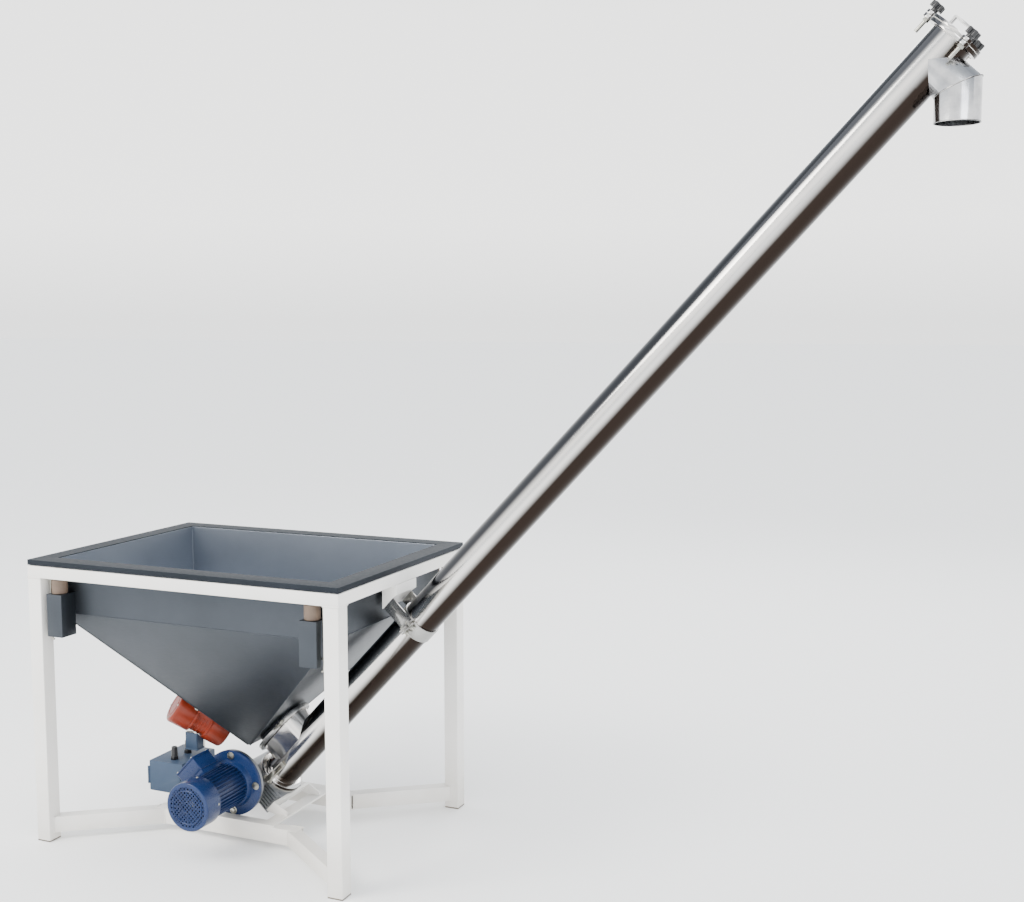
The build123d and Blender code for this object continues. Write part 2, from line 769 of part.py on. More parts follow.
# ---- gearbox and motor ----
def make_gearbox():
    low, high = gear_station - gear_half, gear_station + gear_half
    worm = facing_front(-worm_barrel, gear_station, gear_centres)
    barrel = 2 * worm_barrel
    with BuildPart() as housing:
        with BuildSketch(across(low)):
            Circle(housing_radius)
            with Locations((gear_centres / 2, 0)):
                Rectangle(gear_centres, 2 * housing_radius - 24)
            with Locations(((shelf_height + shelf_thickness) / 2, 0)):
                Rectangle(-shelf_height - shelf_thickness, 2 * housing_radius)
        extrude(amount=high - low)
        with BuildSketch(worm.offset(-2 * worm_barrel)):
            Circle(barrel_radius)
        extrude(amount=barrel)
        for number in range(fin_count):
            x = (number - (fin_count - 1) / 2) * fin_pitch
            with BuildSketch(over(shelf_height + shelf_thickness + 12, gear_station + x)):
                Rectangle(3, 2 * housing_radius + 14)
            extrude(amount=gear_centres - 10)
        with BuildSketch(across(high)):
            Circle(flange_radius - 3)
        extrude(amount=housing_flange)
        with BuildSketch(worm):
            Circle(barrel_radius + 8)
        extrude(amount=worm_face - worm_barrel - 12)
        with BuildSketch(worm.offset(worm_face - worm_barrel - 12)):
            Circle(motor_flange_radius - 2)
            with PolarLocations(motor_bolt_circle, 4, start_angle=45):
                Circle(5.4, mode=Mode.SUBTRACT)
        extrude(amount=12)
    with BuildPart() as cavity:
        with BuildSketch(across(low - 1)):
            Circle(wheel_radius + 4)
        extrude(amount=high - low - 8)
        with BuildSketch(across(low)):
            Circle(bearing_radius)
        extrude(amount=high - low + housing_flange + 1)
        with BuildSketch(worm.offset(-2 * worm_barrel + 8)):
            Circle(worm_radius + 5)
        extrude(amount=barrel + worm_face)
    write(housing.part - cavity.part, "gearbox_housing")

    with BuildPart() as cover:
        with BuildSketch(across(low - 8)):
            Circle(housing_radius - 3)
            Circle(journal_radius + 6, mode=Mode.SUBTRACT)
        extrude(amount=8)
        with BuildSketch(across(low)):
            Circle(wheel_radius + 3.8)
            Circle(bearing_radius, mode=Mode.SUBTRACT)
        extrude(amount=6)
    write(cover.part, "gearbox_cover")
    with BuildPart() as screw:
        with BuildSketch(Plane.XY):
            RegularPolygon(6.0, 6)
        extrude(amount=-5)
    spots = [across(low - 8).location * Rot(0, 0, 30 + 60 * number) * Pos(housing_radius - 12, 0, 0)
             for number in range(6)]
    fasteners = spread(screw.part, spots)

    def ring_at(start, length, outer, inner):
        with BuildPart() as ring:
            with BuildSketch(across(start)):
                Circle(outer)
                Circle(inner, mode=Mode.SUBTRACT)
            extrude(amount=length)
        return ring.part

    hub = journal_radius + seat_gap + 6
    bearings = [ring_at(start, 10, bearing_radius - seat_gap, hub + running_gap) for start in (low + 1, high + 1)]

    with BuildPart() as wheel:
        with BuildSketch(across(low)):
            Circle(hub)
            Circle(journal_radius + seat_gap, mode=Mode.SUBTRACT)
        extrude(amount=high - low + housing_flange - 1)
        with BuildSketch(across(gear_station - 11)):
            Circle(wheel_radius - 4)
            with PolarLocations(wheel_radius - 3, wheel_teeth):
                Rectangle(6, 4)
            Circle(hub - 1, mode=Mode.SUBTRACT)
        extrude(amount=22)
    write(wheel.part, "worm_wheel")
    return fasteners, bearings


def make_motor():
    def ring_at(start, length, outer, inner):
        with BuildPart() as ring:
            with BuildSketch(facing_front(-start, gear_station, gear_centres)):
                Circle(outer)
                Circle(inner, mode=Mode.SUBTRACT)
            extrude(amount=length)
        return ring.part

    axis = facing_front(0, gear_station, gear_centres)
    end = motor_face + motor_length
    bore = rotor_journal + running_gap
    bearings = [ring_at(start, 12, worm_radius + 5 - seat_gap, bore) for start in (9 - worm_barrel, worm_barrel - 12)]

    with BuildPart() as worm:
        with BuildSketch(axis.offset(-worm_barrel + 9)):
            Circle(rotor_journal)
        extrude(amount=worm_barrel - 9 + worm_face + 4)
        with BuildSketch(axis.offset(-30)):
            Circle(worm_radius - 3)
        extrude(amount=60)
        for number in range(10):
            with BuildSketch(axis.offset(-28 + number * 6)):
                Circle(worm_radius)
            extrude(amount=2.5)
    write(worm.part, "worm_shaft")

    with BuildPart() as shield:
        with BuildSketch(axis.offset(worm_face)):
            Circle(motor_flange_radius)
            with PolarLocations(motor_bolt_circle, 4, start_angle=45):
                Circle(5.5, mode=Mode.SUBTRACT)
        extrude(amount=11)
        with BuildSketch(axis.offset(worm_face + 11)):
            Circle(motor_radius + 8)
        extrude(amount=18, taper=18)
        with BuildSketch(axis.offset(worm_face)):
            Circle(24)
        extrude(amount=31, mode=Mode.SUBTRACT)
    with BuildPart() as bolt:
        with BuildSketch(Plane.XY):
            RegularPolygon(9.2, 6)
        extrude(amount=7)
        with BuildSketch(Plane.XY):
            Circle(5.2)
        extrude(amount=-18)
    face = axis.offset(worm_face + 11 + 0.1)
    spots = [face.location * Rot(0, 0, 45 + 90 * number) * Pos(motor_bolt_circle, 0, 0) for number in range(4)]
    fasteners = spread(bolt.part, spots)

    body_start = worm_face + 29
    body_end = end - cowl_length + 12
    with BuildPart() as body:
        with BuildSketch(axis.offset(body_start)):
            Circle(motor_radius - 8)
            for number in range(motor_fins):
                angle = 360 / motor_fins * (number + 0.5)
                if 55 < angle < 125:
                    continue
                with Locations(Rot(0, 0, angle) * Pos(motor_radius - 6, 0)):
                    Rectangle(12, 2.4)
            Circle(motor_radius - 15, mode=Mode.SUBTRACT)
        extrude(amount=body_end - body_start)
        with BuildSketch(axis.offset(body_start + 22)):
            with Locations((0, motor_radius - 3)):
                Rectangle(84, 18)
            Circle(motor_radius - 9, mode=Mode.SUBTRACT)
        extrude(amount=84)
    write(body.part, "motor_body")
    write(ring_at(body_start + 24, body_end - body_start - 60, motor_radius - 15.2, motor_radius - 26),
          "motor_stator")
    with BuildPart() as rotor:
        with BuildSketch(axis.offset(worm_face + 4)):
            Circle(rotor_journal)
        extrude(amount=end - 22 - worm_face - 4)
        with BuildSketch(axis.offset(body_start + 28)):
            Circle(motor_radius - 26.8)
        extrude(amount=body_end - body_start - 68)
    write(rotor.part, "motor_rotor")
    with BuildPart() as back:
        with BuildSketch(axis.offset(body_end)):
            Circle(cowl_radius - 2.1)
            Circle(rotor_journal + 8, mode=Mode.SUBTRACT)
        extrude(amount=8)
    group([shield.part, back.part], "motor_end_shields")
    bearings += [ring_at(body_end, 8, rotor_journal + 8 - seat_gap, bore),
                 ring_at(worm_face + 15, 12, 24 - seat_gap, bore)]
    with BuildPart() as fan:
        with BuildSketch(axis.offset(body_end + 12)):
            Circle(52)
            Circle(rotor_journal + seat_gap, mode=Mode.SUBTRACT)
        extrude(amount=3)
        with BuildSketch(axis.offset(body_end + 15)):
            Circle(16)
            with PolarLocations(33, 8):
                Rectangle(36, 2.4)
            Circle(rotor_journal + seat_gap, mode=Mode.SUBTRACT)
        extrude(amount=18)
    write(fan.part, "cooling_fan")
    with BuildPart() as cowl:
        with BuildSketch(axis.offset(end - cowl_length)):
            Circle(cowl_radius)
        extrude(amount=cowl_length)
        fillet(cowl.edges().filter_by(GeomType.CIRCLE).sort_by(Axis.Y)[0], 4.0)
        with BuildSketch(axis.offset(end - cowl_length - 1)):
            Circle(cowl_radius - 2)
        extrude(amount=cowl_length - 1, mode=Mode.SUBTRACT)
        with BuildSketch(axis.offset(end - 3)):
            with GridLocations(9, 9, 15, 15):
                Rectangle(6, 6)
            Circle(cowl_radius - 12, mode=Mode.INTERSECT)
        extrude(amount=4, mode=Mode.SUBTRACT)
    write(cowl.part, "fan_cowl")

    lid = Plane(origin=at(gear_station, gear_centres + motor_radius + 6, -(body_start + 64)),
                x_dir=along, z_dir=square_to)
    with BuildPart() as box:
        with BuildSketch(lid):
            RectangleRounded(88, 86, 5)
        extrude(amount=terminal_height)
        with BuildSketch(lid.offset(3)):
            RectangleRounded(82, 80, 3)
        extrude(amount=terminal_height, mode=Mode.SUBTRACT)
    write(box.part, "motor_terminal_box")
    with BuildPart() as cover:
        with BuildSketch(lid.offset(terminal_height)):
            RectangleRounded(92, 90, 6)
        extrude(amount=6)
    write(cover.part, "terminal_lid")
    with BuildPart() as screw:
        Cylinder(3.4, 2.5, align=(Align.CENTER, Align.CENTER, Align.MIN))
        with BuildSketch(Plane.XY.offset(2.5)):
            Rectangle(6, 1)
        extrude(amount=-1.2, mode=Mode.SUBTRACT)
    spots = [lid.location * Pos(x, y, terminal_height + 6) for x in (-38, 38) for y in (-37, 37)]
    return fasteners + spread(screw.part, spots), bearings


def make_control_box():
    with BuildPart() as box:
        with Locations((box_x, box_y, box_low + box_height / 2)):
            Box(box_length, box_depth, box_height)
        fillet(box.edges().filter_by(Axis.Y), 4.0)
        with Locations((box_x, box_y - box_sheet, box_low + box_height / 2)):
            Box(box_length - 2 * box_sheet, box_depth, box_height - 2 * box_sheet, mode=Mode.SUBTRACT)
    front_y = box_y - box_depth / 2
    with BuildPart() as door:
        with Locations((box_x, front_y - free_gap - 1.5, box_low + box_height / 2)):
            Box(box_length, 3, box_height)
        fillet(door.edges().filter_by(Axis.Y), 4.0)
        with Locations((box_x + box_length / 2 - 14, front_y - free_gap - 5, box_low + box_height / 2)):
            Cylinder(7, 5, rotation=(90, 0, 0))
        with Locations((box_x - box_length / 2 - hinge_radius - 0.2, front_y - free_gap - 1.5,
                        box_low + box_height / 2)):
            Cylinder(hinge_radius, 24)
            Cylinder(hinge_pin + running_gap, 24, mode=Mode.SUBTRACT)
        with Locations((box_x - box_length / 2 - 0.4, front_y - free_gap - 1.5, box_low + box_height / 2)):
            Box(3, 2.4, 24)
    pin_spot = Pos(box_x - box_length / 2 - hinge_radius - 0.2, front_y - free_gap - 1.5, box_low + box_height / 2)
    write(door.part - pin_spot * Cylinder(hinge_pin + running_gap, 24), "control_box_door")
    with BuildPart() as hinge:
        with Locations(pin_spot):
            Cylinder(hinge_pin, 56)
        for side in (left, right):
            with Locations(pin_spot * Pos(0, 0, side * 20.3)):
                Cylinder(hinge_radius, 16)
            with Locations(pin_spot * Pos(hinge_radius / 2, 9.5, side * 20.3)):
                Box(2.2 + hinge_radius / 2, 17, 16)
    shell = Pos(box_x, box_y, box_low + box_height / 2) * Box(box_length, box_depth, box_height)
    group([box.part, hinge.part - shell], "control_box")
    glands = []
    for x, y in ((box_x + 7, box_y - 51), (box_x + 7, box_y + 19)):
        with BuildPart() as gland:
            with BuildSketch(Plane.XY.offset(box_low + box_height)):
                with Locations((x, y)):
                    RegularPolygon(13, 6)
            extrude(amount=12)
            with BuildSketch(Plane.XY.offset(box_low + box_height + 12)):
                with Locations((x, y)):
                    Circle(10.8)
            extrude(amount=30, taper=3)
            with BuildSketch(Plane.XY.offset(box_low + box_height + 42)):
                with Locations((x, y)):
                    Circle(5)
            extrude(amount=-24, mode=Mode.SUBTRACT)
        glands.append(gland.part)
    group(glands, "control_box_glands")
    arm_x = -(centre_length - brace_width) / 2
    with BuildPart() as bracket:
        with BuildSketch(Plane.XZ.offset(-box_y - 20)):
            with BuildLine():
                Polyline((arm_x - 18, brace_top), (arm_x + 26, brace_top), (arm_x + 26, box_low),
                         (box_x - 30, box_low), (box_x - 30, box_low - 5), (arm_x + 21, box_low - 5),
                         (arm_x + 21, brace_top + 5), (arm_x - 18, brace_top + 5), close=True)
            make_face()
        extrude(amount=-50)
    write(bracket.part, "control_box_bracket")


# ---- vibrator under the hopper's left slope ----
def vibrator_frame():
    """On the left slope's outside: x along the motor, z away from the hopper."""
    run = Vector(-mouth_x, 0, fold_height) - Vector(tip_x - tip_width / 2, 0, tip_height)
    up_slope = run.normalized()
    away = Vector(-up_slope.Z, 0, up_slope.X)
    origin = Vector(tip_x - tip_width / 2, vibrator_y, tip_height) + up_slope * vibrator_up
    skew = math.radians(vibrator_skew)
    heading = -up_slope * math.cos(skew) + Vector(0, 1, 0) * math.sin(skew)
    return Plane(origin=origin, x_dir=heading, z_dir=away)


def make_vibrator():
    base = vibrator_frame()
    axis = Plane(origin=base.origin + base.z_dir * vibrator_drop, x_dir=base.z_dir, z_dir=base.x_dir)
    half = vibrator_length / 2
    with BuildPart() as pad:
        with BuildSketch(base.offset(seat_gap)):
            RectangleRounded(150, 130, 6)
        extrude(amount=6)
    write(pad.part, "vibrator_pad")
    with BuildPart() as body:
        with BuildSketch(axis.offset(-half + cap_length)):
            Circle(vibrator_radius)
            with Locations((-(vibrator_drop - 6 - seat_gap) / 2, 0)):
                Rectangle(vibrator_drop - 6 - seat_gap, 1.5 * vibrator_radius)
        extrude(amount=vibrator_length - 2 * cap_length)
        with BuildSketch(base.offset(6 + seat_gap)):
            RectangleRounded(120, 118, 10)
        extrude(amount=12)
        for side in (left, right):
            with BuildSketch(axis.offset(side * (half - cap_length) - (8 if side == right else 0))):
                Circle(cap_radius)
            extrude(amount=8)
        with BuildSketch(axis.offset(-half)):
            Circle(vibrator_radius - 8)
        extrude(amount=vibrator_length, mode=Mode.SUBTRACT)
    box_seat = Pos(connection_x, connection_y, connection_top - connection_height)
    with BuildPart() as connection:
        with BuildSketch(Plane(box_seat)):
            RectangleRounded(connection_length, connection_depth, 4.0)
        extrude(amount=connection_height)
    with BuildPart() as swept:
        with BuildSketch(axis.offset(-half)):
            Circle(cap_radius + free_gap)
        extrude(amount=vibrator_length)
    write(body.part, "vibrator_body")
    write(connection.part - swept.part, "vibrator_connection_box")
    caps = []
    for side in (left, right):
        with BuildPart() as cap:
            with BuildSketch(axis.offset(side * half)):
                Circle(cap_radius)
            extrude(amount=-side * cap_length)
            outer_edge = cap.edges().filter_by(GeomType.CIRCLE).sort_by(axis_sorter(axis, side))[-1]
            fillet(outer_edge, 9.0)
            with BuildSketch(axis.offset(side * (half - 4))):
                Circle(cap_radius - 4)
            extrude(amount=-side * cap_length, mode=Mode.SUBTRACT)
        caps.append(cap.part)
    group(caps, "vibrator_caps")
    bearings = []
    for side in (left, right):
        with BuildPart() as bearing:
            with BuildSketch(axis.offset(side * (half - cap_length))):
                Circle(vibrator_radius - 8 - seat_gap)
                Circle(10 + running_gap, mode=Mode.SUBTRACT)
            extrude(amount=-side * 10)
        bearings.append(bearing.part)
    group(bearings, "vibrator_bearings")
    with BuildPart() as rotor:
        with BuildSketch(axis.offset(-half + 8)):
            Circle(10)
        extrude(amount=vibrator_length - 16)
        with BuildSketch(axis.offset(-20)):
            Circle(24)
        extrude(amount=40)
        for side in (left, right):
            with BuildSketch(axis.offset(side * (half - cap_length + 8))):
                with BuildLine():
                    CenterArc((0, 0), cap_radius - 9, 90, 180)
                    Line((0, -cap_radius + 9), (0, cap_radius - 9))
                make_face()
                Circle(12)
            extrude(amount=side * (cap_length - 22))
    write(rotor.part, "vibrator_rotor")
    with BuildPart() as bolt:
        with BuildSketch(Plane.XY):
            RegularPolygon(9.5, 6)
        extrude(amount=8)
    spots = [base.location * Pos(x, y, 18 + seat_gap) for x in (-48, 48) for y in (-50, 50)]
    group(spread(bolt.part, spots), "vibrator_bolts")


def axis_sorter(plane, side):
    heading = plane.z_dir * side
    return lambda edge: edge.center().dot(heading)


make_legs()
make_top_ring()
make_base()
make_gearbox_mount()
make_tube_bracket()
clamp_bolts = make_pipe_clamp()
make_rim()
make_hopper()
make_corner_mounts()
head_studs = make_auger_tube()
make_spout()
make_head(head_studs)
make_screw()
band_bolt = make_foot()
make_latches()
gearbox_screws, wheel_bearings = make_gearbox()
motor_screws, motor_bearings = make_motor()
group(clamp_bolts + band_bolt + gearbox_screws + motor_screws, "fasteners")
group(wheel_bearings + motor_bearings, "ball_bearings")
make_control_box()
make_vibrator()
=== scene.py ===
# Grain auger: feed hopper on a welded stand, inclined screw tube, gearmotor and down-turned spout.
# Metres, Z up, the tube climbs towards +X and the motor stands out to the front, -Y.
import json
import math

import bpy
from mathutils import Matrix, Vector


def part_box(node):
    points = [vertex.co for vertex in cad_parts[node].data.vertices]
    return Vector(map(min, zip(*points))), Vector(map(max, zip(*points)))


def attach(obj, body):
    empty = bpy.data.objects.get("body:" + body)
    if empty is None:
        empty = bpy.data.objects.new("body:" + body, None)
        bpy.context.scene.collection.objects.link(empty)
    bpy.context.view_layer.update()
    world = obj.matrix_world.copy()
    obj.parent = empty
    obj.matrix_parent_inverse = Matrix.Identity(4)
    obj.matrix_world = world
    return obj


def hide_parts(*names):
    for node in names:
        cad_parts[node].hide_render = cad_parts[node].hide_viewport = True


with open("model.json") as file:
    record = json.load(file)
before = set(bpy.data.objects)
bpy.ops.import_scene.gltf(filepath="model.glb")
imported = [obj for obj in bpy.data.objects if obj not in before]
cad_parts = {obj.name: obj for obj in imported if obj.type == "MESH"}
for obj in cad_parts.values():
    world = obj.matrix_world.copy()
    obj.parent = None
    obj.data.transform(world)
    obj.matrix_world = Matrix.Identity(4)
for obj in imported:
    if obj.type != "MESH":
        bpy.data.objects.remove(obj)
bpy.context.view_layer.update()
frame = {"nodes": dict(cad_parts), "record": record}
nodes = frame["nodes"]
bodyOf = {node: body for body, group in frame["record"]["behaviour"]["bodies"].items() for node in group}
slotOf = {part["node"]: part["material_slot"] for part in frame["record"]["subparts"]}
print("frame loaded:", len(nodes), "nodes")

# the tube's own directions: along it, square to it and upwards, and its axis above the origin
tube = {"slope": 47.0, "axisHeight": 0.0826, "radius": 0.057, "foot": 0.134, "head": 3.075,
        "gearStation": 0.075, "gearCentres": 0.063}
slope = math.radians(tube["slope"])
alongTube = Vector((math.cos(slope), 0, math.sin(slope)))
offTube = Vector((-math.sin(slope), 0, math.cos(slope)))


def tubePoint(station, height=0.0, y=0.0):
    return Vector((0, y, tube["axisHeight"])) + alongTube * station + offTube * height


def linear(hexText, alpha=1.0):  # sRGB hex to the linear colour that shaders read
    parts = [int(hexText[i:i + 2], 16) / 255 for i in (1, 3, 5)]
    return tuple(c / 12.92 if c <= 0.04045 else ((c + 0.055) / 1.055) ** 2.4 for c in parts) + (alpha,)


def addNode(tree, kind, values=None, links=None, **settings):
    node = tree.nodes.new(kind)
    for name, value in settings.items():
        setattr(node, name, value)
    for socket, value in (values or {}).items():
        node.inputs[socket].default_value = value
    for socket, source in (links or {}).items():
        tree.links.new(source, node.inputs[socket])
    return node


# One finish: base and second tone in slow blotches, a fine grain in gloss and height, dust low down,
# and on polished metal painted dark reflections: a darker base on the faces that look down from the tube and
# on those that look up away from it.
def makeFinish(name, tone, tone2, metallic, rough, roughSpread=0.06, blotch=120, grain=1.0, stretch=(1, 1, 1),
               turn=0.0, height=0.05, ior=1.5, coat=0.0, dust=0.0, under=None, above=None, rings=0.0):
    material = bpy.data.materials.new(name)
    material.use_nodes = True
    tree = material.node_tree
    shader = tree.nodes["Principled BSDF"]
    shader.inputs["Metallic"].default_value = metallic
    if metallic < 0.5:
        shader.inputs["IOR"].default_value = ior
    shader.inputs["Coat Weight"].default_value = coat
    place = addNode(tree, "ShaderNodeTexCoord").outputs["Object"]
    slow = addNode(tree, "ShaderNodeTexNoise", {"Scale": 1000 / blotch, "Detail": 4.0, "Roughness": 0.55},
                   {"Vector": place})
    spread = addNode(tree, "ShaderNodeMapRange", {"From Min": 0.35, "From Max": 0.65},
                     {"Value": slow.outputs["Fac"]})
    colour = addNode(tree, "ShaderNodeMix", {"A": linear(tone), "B": linear(tone2)}, data_type="RGBA")
    tree.links.new(spread.outputs["Result"], colour.inputs["Factor"])
    colourOut = colour.outputs["Result"]
    mapped = addNode(tree, "ShaderNodeMapping", {"Rotation": (0, turn, 0), "Scale": stretch},
                     {"Vector": place})
    fine = addNode(tree, "ShaderNodeTexNoise", {"Scale": 1000 / grain, "Detail": 3.0, "Roughness": 0.6},
                   {"Vector": mapped.outputs["Vector"]})
    gloss = addNode(tree, "ShaderNodeMapRange",
                    {"From Min": 0.3, "From Max": 0.7, "To Min": rough - roughSpread / 2,
                     "To Max": rough + roughSpread}, {"Value": fine.outputs["Fac"]})
    normal = addNode(tree, "ShaderNodeNewGeometry").outputs["Normal"]
    # painted reflection: the base darkens on faces turned down from the tube and on faces turned up away from
    # it
    for side, tint in ((-1, under), (1, above)):
        if not tint:
            continue
        dot = addNode(tree, "ShaderNodeVectorMath", operation="DOT_PRODUCT")
        tree.links.new(normal, dot.inputs[0])
        dot.inputs[1].default_value = offTube * side
        fade = addNode(tree, "ShaderNodeMapRange", {"From Min": tint[1], "From Max": tint[2]},
                       {"Value": dot.outputs["Value"]}, interpolation_type="SMOOTHSTEP")
        layer = addNode(tree, "ShaderNodeMix", {"B": linear(tint[0])}, data_type="RGBA")
        tree.links.new(fade.outputs["Result"], layer.inputs["Factor"])
        tree.links.new(colourOut, layer.inputs["A"])
        colourOut = layer.outputs["Result"]
    if dust:
        parts = addNode(tree, "ShaderNodeSeparateXYZ", links={"Vector": place})
        low = addNode(tree, "ShaderNodeMapRange", {"From Min": 0.22, "From Max": 0.0, "To Max": dust},
                      {"Value": parts.outputs["Z"]})
        broken = addNode(tree, "ShaderNodeMath", operation="MULTIPLY")
        tree.links.new(low.outputs["Result"], broken.inputs[0])
        tree.links.new(slow.outputs["Fac"], broken.inputs[1])
        layer = addNode(tree, "ShaderNodeMix", {"B": linear("#8C7F6C")}, data_type="RGBA")
        tree.links.new(broken.outputs["Value"], layer.inputs["Factor"])
        tree.links.new(colourOut, layer.inputs["A"])
        colourOut = layer.outputs["Result"]
    tree.links.new(colourOut, shader.inputs["Base Color"])
    tree.links.new(gloss.outputs["Result"], shader.inputs["Roughness"])
    bump = addNode(tree, "ShaderNodeBump", {"Strength": 0.35, "Distance": height / 1000},
                   {"Height": fine.outputs["Fac"]})
    bumpOut = bump.outputs["Normal"]
    if rings:  # slow waves of thin rolled sheet, millimetres deep over hand widths
        wave = addNode(tree, "ShaderNodeTexNoise", {"Scale": 4.0, "Detail": 1.0}, {"Vector": place})
        bump2 = addNode(tree, "ShaderNodeBump", {"Strength": 0.6, "Distance": rings / 1000},
                        {"Height": wave.outputs["Fac"], "Normal": bumpOut})
        bumpOut = bump2.outputs["Normal"]
    tree.links.new(bumpOut, shader.inputs["Normal"])
    return material


finishes = {
    # mild steel tube under white polyester powder: a soft gloss with the shallow dimples of baked powder
    "frame_paint": makeFinish("powderCoatedSteel", "#F1EFEB", "#EAE7E1", 0.0, 0.34, blotch=260,
                              grain=2.2, height=0.05, dust=0.5),
    # glass filled nylon plugs: dark, dull, faint moulding grain
    "foot_plastic": makeFinish("mouldedNylon", "#1C1C1D", "#242425", 0.0, 0.55, grain=1.5, height=0.05,
                               dust=0.8),
    # 2.5 mm stainless sheet, pickled after welding: grey blue, satin, brush lines a few tenths apart
    "hopper_steel": makeFinish("pickledStainlessSheet", "#43474C", "#494D53", 1.0, 0.42, 0.06,
                               blotch=340, grain=1.2, stretch=(0.06, 0.06, 1), height=0.02, rings=0.5),
    # the same sheet inside the hopper, polished so that grain slides: lighter
    "hopper_inside": makeFinish("polishedStainlessSheet", "#9298A1", "#8B919A", 1.0, 0.38, 0.06,
                                blotch=340, grain=1.2, stretch=(0.06, 0.06, 1), height=0.02,
                                rings=0.5),
    # ground stainless channel of the rim, lines run along it; its dark tone is painted shade and painted dark
    # reflection
    "rim_steel": makeFinish("groundStainlessRim", "#2C3035", "#31353B", 1.0, 0.6, 0.06, blotch=180,
                            grain=1.0, stretch=(0.08, 0.08, 1), height=0.02),
    # drawn stainless tube, buffed along its length: mirror bright with long faint streaks, and a painted dark
    # reflection band along its underside and another along its top
    "tube_steel": makeFinish("buffedStainlessTube", "#DFDCD9", "#D4D1CD", 1.0, 0.12, 0.08, blotch=420,
                             grain=2.0, stretch=(0.02, 1, 1), turn=slope, height=0.01,
                             under=("#29221E", 0.12, 0.5), above=("#3A3B3E", 0.1, 0.5)),
    # the spout: the same tube polished to an even silver, with faint upright lines
    "spout_steel": makeFinish("feltPolishedSpout", "#C6C6C7", "#A2A3A6", 1.0, 0.16, 0.08, blotch=60,
                              grain=2.0, stretch=(1, 1, 0.03), height=0.01),
    # pressed stainless plate of the clamps and flanges
    "clamp_steel": makeFinish("pressedStainlessPlate", "#A9A8A5", "#9B9A98", 1.0, 0.24, 0.1, blotch=60,
                              grain=0.8, height=0.02),
    # bright zinc plate on bolts, studs and latches: pale with a faint yellow
    "zinc_steel": makeFinish("zincPlatedSteel", "#B0AEA5", "#9C9B93", 1.0, 0.28, 0.12, blotch=25,
                             grain=0.7, height=0.02),
    # turned shafts and bearing rings: plain bright steel
    "shaft_steel": makeFinish("turnedSteel", "#9C9B98", "#8B8A88", 1.0, 0.25, 0.1, blotch=60,
                              grain=0.6, height=0.02),
    # die cast aluminium, shot blasted: pale, dull and finely pitted
    "gearbox_aluminium": makeFinish("blastedCastAluminium", "#96989A", "#86888B", 1.0, 0.46, 0.12,
                                    blotch=70, grain=1.1, height=0.12),
    # blue alkyd enamel over castings: glossy, slightly orange peeled
    "motor_paint": makeFinish("blueMachineEnamel", "#142951", "#122448", 0.0, 0.28, 0.08, blotch=90,
                              grain=2.4, height=0.08, ior=1.36, coat=0.08),
    # orange red enamel over an iron casting
    "vibrator_paint": makeFinish("orangeMachineEnamel", "#842D18", "#702614", 0.0, 0.34, 0.1,
                                 blotch=70, grain=2.4, height=0.1, ior=1.36, coat=0.05),
    # fine textured epoxy on sheet steel
    "box_paint": makeFinish("texturedGreyEnamel", "#37475C", "#334256", 0.0, 0.45, 0.1, blotch=120,
                            grain=1.6, height=0.12, ior=1.36),
    # pressed phenolic knobs, glands and the fan: black with a low gloss
    "black_plastic": makeFinish("blackPhenolic", "#141415", "#1C1C1E", 0.0, 0.32, 0.12, blotch=40,
                                grain=1.2, height=0.03),
    # gum rubber buffers: brown, dull
    "buffer_rubber": makeFinish("gumRubber", "#665547", "#5A4B3F", 0.0, 0.62, 0.1, blotch=30,
                                grain=1.5, height=0.05),
    # white food grade rubber rings
    "seal_rubber": makeFinish("whiteFoodRubber", "#DCDBD6", "#D0CEC8", 0.0, 0.5, 0.1, blotch=60,
                              grain=1.5, height=0.03),
    # cast bronze wheel and bush, turned all over
    "bronze": makeFinish("turnedBronze", "#A07A45", "#8F6C3C", 1.0, 0.3, 0.1, blotch=40, grain=0.7,
                         height=0.02),
    # varnished core plates and windings of the motor
    "copper_stack": makeFinish("laminatedCore", "#5C4E44", "#4C4038", 0.6, 0.5, 0.1, blotch=30,
                               grain=1.0, height=0.05),
}
print("finishes made:", len(finishes))


def deselectAll():
    if bpy.context.object and bpy.context.object.mode != "OBJECT":
        bpy.ops.object.mode_set(mode="OBJECT")
    bpy.ops.object.select_all(action="DESELECT")


def makeActive(piece):
    deselectAll()
    piece.select_set(True)
    bpy.context.view_layer.objects.active = piece


def finishPiece(piece, name, body, slot, material=None):
    piece.name = name
    piece.data.name = name
    piece.data.materials.clear()
    piece.data.materials.append(material or finishes[slot])
    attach(piece, body)
    return piece


def roundEdges(piece, width, segments=2, angle=32):
    makeActive(piece)
    bevel = piece.modifiers.new("Edge", "BEVEL")
    bevel.width = width
    bevel.segments = segments
    bevel.limit_method = "ANGLE"
    bevel.angle_limit = math.radians(angle)
    bevel.use_clamp_overlap = True
    bpy.ops.object.modifier_apply(modifier=bevel.name)


def smooth(piece, angle=32):
    makeActive(piece)
    bpy.ops.object.shade_smooth_by_angle(angle=math.radians(angle))


# a merged copy of a CAD node with worked edges, standing for it
edgeWidths = {"legs": 0.0035, "top_ring": 0.003, "centre_frame": 0.003, "diagonal_braces": 0.003,
              "gearbox_cradle": 0.0012, "foot_caps": 0.0015, "hopper_shell": 0.0006, "hopper_rim": 0.0012,
              "gearbox_housing": 0.0016, "gearbox_cover": 0.0012, "motor_body": 0.0006,
              "motor_end_shields": 0.001, "fan_cowl": 0.0006, "motor_terminal_box": 0.0012,
              "terminal_lid": 0.002, "vibrator_body": 0.002, "vibrator_caps": 0.0014, "vibrator_pad": 0.001,
              "control_box": 0.0008, "control_box_door": 0.0012, "auger_tube": 0.0, "spout": 0.0,
              "end_cover": 0.0008, "tube_flanges": 0.0008, "corner_channels": 0.001, "screw_flight": 0.0,
              "rubber_buffers": 0.001, "rim_gasket": 0.0, "inlet_seal": 0.001, "tube_bracket": 0.0012}
edgeDefault = 0.0005
foldSmooth = 18  # degrees: keeps the hopper's fold crisp
